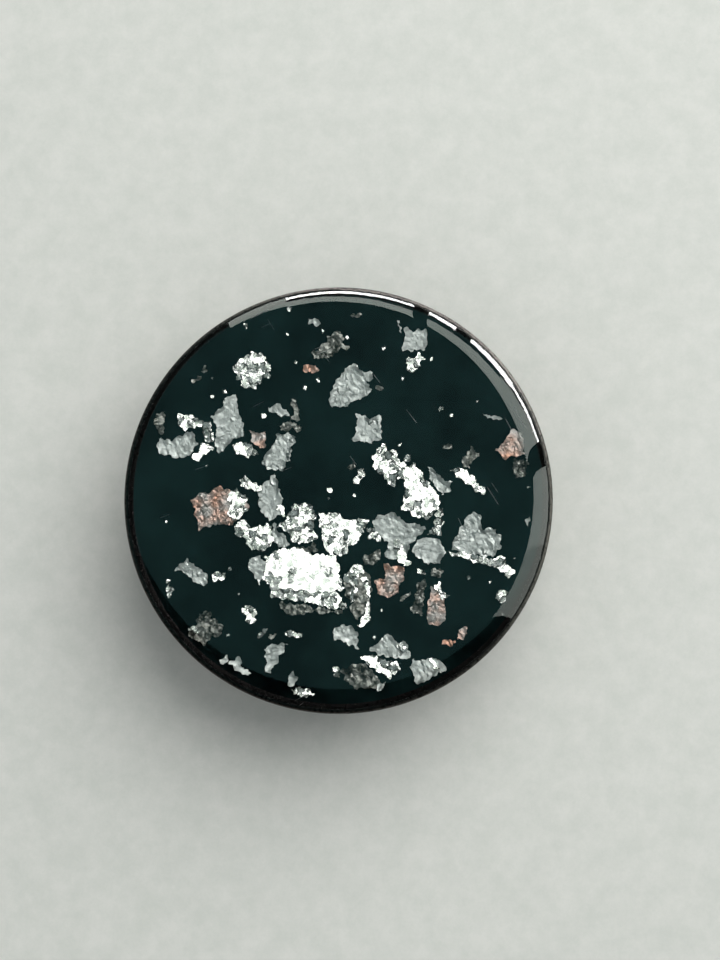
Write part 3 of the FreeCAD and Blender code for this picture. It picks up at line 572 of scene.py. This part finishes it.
def area_light(name, shape, width, height, radiance, colour, seen_by):
    """An area light of a given brightness that the camera doesn't see. seen_by names the kinds of
    ray that it lights: diffuse for the board, glossy for mirror-like surfaces and transmission for
    what lies in the resin."""
    light = bpy.data.lights.new(name, "AREA")
    light.shape = shape
    light.size, light.size_y = width, height
    area = width * height * (math.pi / 4 if shape == "ELLIPSE" else 1.0)
    light.energy = radiance * math.pi * area
    light.color = linear(colour)[:3]
    lamp = bpy.data.objects.new(name, light)
    lamp.visible_camera = False
    lamp.visible_diffuse = "diffuse" in seen_by
    lamp.visible_glossy = "glossy" in seen_by
    lamp.visible_transmission = "transmission" in seen_by
    bpy.context.scene.collection.objects.link(lamp)
    return lamp


def pane(name, facing, left, right, low, high, radiance, distance=LAMP_DISTANCE):
    """A window pane: an upright bright rectangle that shows in gloss. Angles are degrees round Z from
    +X, and left is the larger one; low and high are heights as a share of the distance."""
    near, far = (math.tan(math.radians(side - facing)) * distance for side in (right, left))
    height = (high - low) * distance
    lamp = area_light(name, "RECTANGLE", far - near, height, radiance, "#ffffff", ("glossy",))
    aim(lamp, facing, 0, distance)
    a = math.radians(facing)
    lamp.location += Vector((-math.sin(a), math.cos(a), 0)) * (near + far) / 2
    lamp.location.z = distance * (low + high) / 2


def soft_light(name, azimuth, elevation, width, height, radiance, colour, seen_by,
               distance=LAMP_DISTANCE):
    """A round or oval light hung over the badge."""
    lamp = area_light(name, "ELLIPSE", width, height, radiance, colour, seen_by)
    aim(lamp, azimuth, elevation, distance)


def haze(name, left, right, low, high, radiance, distance=LAMP_DISTANCE, steps=16):
    """A dull glow beside a window: an upright curved strip that shows only in gloss. Angles are degrees
    round Z from +X; low and high are heights as a share of the distance, at its left and at its right."""
    points, faces = [], []
    for i in range(steps + 1):
        t = i / steps
        a = math.radians(left + (right - left) * t)
        for start, end in (low, high):
            rise = start + (end - start) * t
            points.append((distance * math.cos(a), distance * math.sin(a), distance * rise))
    for i in range(steps):
        faces.append((2 * i, 2 * i + 1, 2 * i + 3, 2 * i + 2))
    mesh = bpy.data.meshes.new(name)
    mesh.from_pydata(points, [], faces)
    glow = bpy.data.materials.new(name)
    glow.use_nodes = True
    glow.node_tree.nodes.clear()
    light = add_node(glow.node_tree, "ShaderNodeEmission", {"Color": linear("#d3dcd4"), "Strength": radiance})
    add_node(glow.node_tree, "ShaderNodeOutputMaterial", {"Surface": light.outputs[0]})
    mesh.materials.append(glow)
    strip = bpy.data.objects.new(name, mesh)
    strip.visible_camera = strip.visible_diffuse = strip.visible_transmission = False
    strip.visible_shadow = strip.visible_volume_scatter = False
    bpy.context.scene.collection.objects.link(strip)


def ceiling():
    """The dim blue-green room that the dome mirrors: overhead and ahead, but not behind the viewer."""
    width, depth = (share * CEILING_HEIGHT for share in (2 * CEILING_HALF, CEILING_BEHIND + CEILING_AHEAD))
    lamp = area_light("ceiling", "RECTANGLE", width, depth, CEILING_RADIANCE, "#ffffff", ("glossy",))
    lamp.data.color = CEILING_TINT
    lamp.location = (0, (CEILING_AHEAD - CEILING_BEHIND) / 2 * CEILING_HEIGHT, CEILING_HEIGHT)


def studio():
    """Window light from the upper right and a dim room. The windows and their haze show as bright arcs
    round the dome's shoulder, the leaf has a window and a ceiling of its own, and so has the board."""
    pane("sky_top", 90, 104, 71, 0.01, 0.17, 24)
    pane("sky_middle", 10, 67, 59, 0.03, 0.38, 24)
    pane("sky_right", 10, 54, 38, 0.07, 0.38, 24)
    pane("sky_far_right", 10, 38, 21, 0.15, 0.30, 24)
    haze("haze_left", 120, 104, (0.02, 0.02), (0.40, 0.56), 6.2)
    haze("haze_top", 104, 71, (0.31, 0.42), (0.64, 0.85), 6.5)
    haze("haze_middle", 67, 42, (0.50, 0.54), (1.05, 1.5), 5.8)
    haze("haze_upper_right", 42, 21, (0.42, 0.26), (1.5, 1.7), 5.4)
    haze("haze_right", 14, -8, (0.02, 0.02), (1.2, 1.4), 4.8)
    haze("haze_far_right", -8, -31, (0.02, 0.02), (1.4, 1.5), 3.2)
    soft_light("leaf_window", 54, 68, 0.26, 0.26, 5.5, "#fffdfb", ("transmission",))
    soft_light("leaf_ceiling", 90, 84, 0.7, 0.7, 0.25, "#e9fbfa", ("transmission",))
    soft_light("board_window", 53, 46, 0.75, 0.75, 2.65, "#fffdf8", ("diffuse",))
    soft_light("board_ceiling", 0, 90, 3.0, 3.0, 0.43, "#fdfffd", ("diffuse",))
    ceiling()
    world = bpy.data.worlds.new("room")
    bpy.context.scene.world = world
    world.use_nodes = True
    tree = world.node_tree
    tree.nodes.clear()
    dim = add_node(tree, "ShaderNodeBackground", {"Color": ROOM_GLOW, "Strength": 1.0})
    add_node(tree, "ShaderNodeOutputWorld", {"Surface": dim.outputs[0]})


def camera():
    """Nearly straight down, from the -Y side."""
    data = bpy.data.cameras.new("camera")
    data.sensor_width = SENSOR
    data.lens = SENSOR * CAMERA_DISTANCE / VIEW_HEIGHT
    data.clip_start = 0.005
    view = bpy.data.objects.new("camera", data)
    bpy.context.scene.collection.objects.link(view)
    back = Vector((0, -math.cos(CAMERA_ELEVATION), math.sin(CAMERA_ELEVATION)))
    view.location = (AIM + CAMERA_DISTANCE * back) * MM
    view.rotation_euler = (-back).to_track_quat("-Z", "Y").to_euler()
    bpy.context.scene.camera = view


# ---- the badge ---------------------------------------------------------------------------------
silver = leaf_metal("silver_leaf", "#e8eae6", "#a8b1a8", 0.5, (0.18, 0.30))
paint(resin_body(), clear_epoxy())
paint(leaf_pieces("flat_leaf", "leaf_smooth", FLAT, 1),
      leaf_metal("dull_silver_leaf", "#c3c9c5", "#a2a8a5", 0.5, (0.28, 0.40)))
paint(leaf_pieces("bright_leaf", "leaf_crumpled", BRIGHT, 2), silver)
paint(leaf_pieces("copper_leaf", "leaf_copper", COPPER, 33),
      leaf_metal("copper_leaf", "#d8a68e", "#cfcac5", 1.7, (0.30, 0.44)))
paint(leaf_pieces("smoky_leaf", "leaf_smoky", SMOKY, 4),
      leaf_metal("smoky_leaf", "#54564f", "#b4b6af", 0.6, (0.26, 0.42)))
paint(leaf_pieces("grain_leaf", "leaf_specks", GRAIN, 5), silver)
paint(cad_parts["enamel_base"], black_epoxy())
paint(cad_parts["tray"], black_nickel_casting())

wire = plated_metal("nickel_plated_wire", "#c9c5bd", (0.16, 0.26), 0.12, 0.004)
tin = plated_metal("flowed_tin_solder", "#b9b9b6", (0.25, 0.42), 0.5, 0.02)
nickel = plated_metal("nickel_plated_brass", "#cfcabf", (0.14, 0.24), 0.2, 0.004)
brass = plated_metal("spring_brass", "#d8bd72", (0.20, 0.27), 0.3, 0.002)
for side in ("left", "right"):
    paint(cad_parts[f"{side}_post"], wire)
    paint(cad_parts[f"{side}_solder_bead"], tin)
    paint(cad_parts[f"{side}_clutch_cup"], nickel)
    for spring in ("spring_web", "fork_wing", "tongue_wing"):
        paint(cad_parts[f"{side}_{spring}"], brass)

floor()
studio()
camera()
bpy.context.scene.view_settings.view_transform = "Standard"
